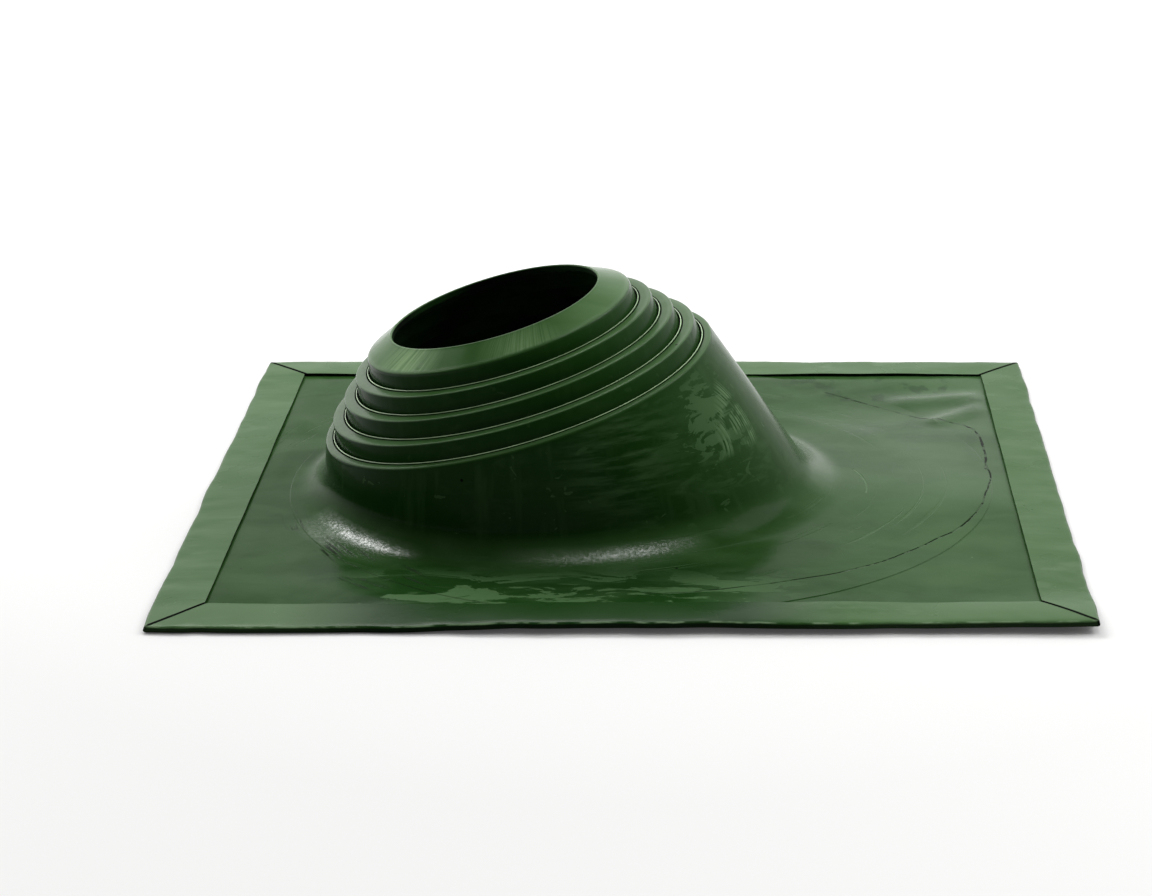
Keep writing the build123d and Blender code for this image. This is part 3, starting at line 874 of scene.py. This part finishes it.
select_by(hem, on_mitre)
bpy.ops.mesh.edge_split(type="EDGE")
mesh = bmesh.from_edit_mesh(hem.data)
for vertex in [vertex for vertex in mesh.verts if on_mitre(vertex.co)]:
    middle = sum((face.calc_center_median() for face in vertex.link_faces), Vector()) / len(vertex.link_faces)
    inset = HALF_DEPTH - abs(vertex.co.y)
    on_long_side = HALF_DEPTH - abs(middle.y) < HALF_LENGTH - abs(middle.x)
    axis = 0 if on_long_side else 1
    vertex.co[axis] -= math.copysign(MITRE_PARTING * inset / HEM_WIDTH, vertex.co[axis])
bmesh.update_edit_mesh(hem.data)
bpy.ops.mesh.select_all(action="SELECT")
bpy.ops.mesh.normals_make_consistent(inside=False)
bpy.ops.object.mode_set(mode="OBJECT")


def hem_shape(p):
    """How far the hem is pushed along X, Y and Z by the hands that folded it."""
    inset = min(HALF_LENGTH - abs(p.x), HALF_DEPTH - abs(p.y))
    share = smooth(0, HEM_WIDTH, inset)
    upper = smooth(0.001, 0.004, p.z)
    along = Vector((p.x * 17, p.y * 17, 0))
    fine = Vector((p.x * 95, p.y * 95, 2.0))
    front = smooth(-0.225, -0.235, p.y)
    lift = upper * (0.0011 * share * (0.5 + noise.noise(along)) + 0.00035 * noise.noise(fine) * (1 - share))
    to_long_side = HALF_DEPTH - abs(p.y) < HALF_LENGTH - abs(p.x)
    held = share * (0.2 if to_long_side else 0.8)
    edge = 0.0028 * noise.noise(along + Vector((0, 0, 9))) * (1 - held)
    nicks = 0.0009 * front * upper * (1 - share) * noise.noise(Vector((p.x * 160, 0, 5.0)))
    out = edge + nicks
    push = Vector((0, math.copysign(out, p.y), 0)) if to_long_side else Vector((math.copysign(out, p.x), 0, 0))
    near_corner = smooth(0.0, 0.03, abs((HALF_LENGTH - abs(p.x)) - (HALF_DEPTH - abs(p.y))))
    return push * near_corner + Vector((0, 0, lift + margin_lift(p)))


for vertex in hem.data.vertices:
    vertex.co += hem_shape(vertex.co)
bpy.ops.object.select_all(action="DESELECT")
hem.select_set(True)
bpy.context.view_layer.objects.active = hem
solid = hem.modifiers.new("sheet", "SOLIDIFY")
solid.thickness = SHEET
solid.offset = 0
bpy.ops.object.modifier_apply(modifier="sheet")
bpy.ops.object.shade_smooth_by_angle(angle=math.radians(40))

SHEET_GREEN = (0.033, 0.094, 0.020)
SHEET_PALE = (0.066, 0.132, 0.050)
CREST_HIGHLIGHT = (0.20, 0.30, 0.17)
PAINT_IOR = 1.14

paint, tree, output = new_material("green_painted_sheet")
place, along_x, along_y, along_z = place_nodes(tree)
surface = add_node(tree, "ShaderNodeBsdfPrincipled", sockets={"IOR": PAINT_IOR})
clouds = noise_at(tree, place, 14, 4.0)
brushed = noise_at(tree, place, 40, 5.0, stretch=(0.15, 1, 1), roughness=0.65)
tone = greater(tree, lesser(tree, mapped(tree, clouds, 0.38, 0.62), mapped(tree, brushed, 0.36, 0.60)),
               lesser(tree, mapped(tree, noise_at(tree, place, 55, 4.0, stretch=(0.5, 1, 1)), 0.56, 0.66), 0.6))
base = mixed_colour(tree, tone, SHEET_GREEN, SHEET_PALE)
inset_x = math_node(tree, "SUBTRACT", HALF_LENGTH, math_node(tree, "ABSOLUTE", along_x))
inset_y = math_node(tree, "SUBTRACT", HALF_DEPTH, math_node(tree, "ABSOLUTE", along_y))
inset = math_node(tree, "MINIMUM", inset_x, inset_y)
normal = add_node(tree, "ShaderNodeSeparateXYZ")
tree.links.new(add_node(tree, "ShaderNodeTexCoord").outputs["Normal"], normal.inputs[0])
# A pale broken line along the crest of the front fold: a painted highlight.
highlight_marks = lesser(tree, band(tree, normal.outputs[2], 0.72, 0.93, 0.06), mapped(tree, along_y, -0.258, -0.262),
                mapped(tree, noise_at(tree, place, 55, 4.0), 0.46, 0.56))
side_on = mapped(tree, normal.outputs[2], 0.40, 0.72, 1.0, 0.0)
off_mitre = math_node(tree, "ABSOLUTE", math_node(tree, "SUBTRACT", inset_x, inset_y))
in_joint = lesser(tree, mapped(tree, off_mitre, 0.0016, 0.0024, 1.0, 0.0), mapped(tree, along_z, 0.0030, 0.0036))
# On the front hem in front of the hood the paint is darkened: painted shade standing for the hood's shadow and dark
# reflection.
painted_front_shade = lesser(tree, mapped(tree, along_y, -0.20, -0.22), band(tree, along_x, -0.16, 0.08, 0.07))
at_ends = mapped(tree, math_node(tree, "ABSOLUTE", along_x), 0.15, 0.22)
base = mixed_colour(tree, lesser(tree, at_ends, mapped(tree, along_y, -0.225, -0.235), 0.8), base, SHEET_PALE)
base = mixed_colour(tree, lesser(tree, painted_front_shade, 0.9), base, DEEP_GREEN)
# The fold's side-facing faces are darkened, painted shade with some dirt, and the mitre joints are dark.
dirt_and_shade = greater(tree, lesser(tree, side_on, 0.85), in_joint)
base = mixed_colour(tree, dirt_and_shade, base, DIRT_AND_SHADE_BLACK)
base = mixed_colour(tree, lesser(tree, highlight_marks, 0.6), base, CREST_HIGHLIGHT)
tree.links.new(base, surface.inputs["Base Color"])
tree.links.new(greater(tree, mapped(tree, clouds, 0.3, 0.7, 0.22, 0.36), dirt_and_shade), surface.inputs["Roughness"])
relief = bumped(tree, noise_at(tree, place, 26, 3.0), 0.0012, 0.35)
relief = bumped(tree, noise_at(tree, place, 700, 2.0), 0.00010, 0.3, relief)
tree.links.new(relief, surface.inputs["Normal"])
tree.links.new(surface.outputs[0], output.inputs["Surface"])
hem.data.materials.clear()
hem.data.materials.append(paint)
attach(hem, "root")
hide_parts("edge_frame")
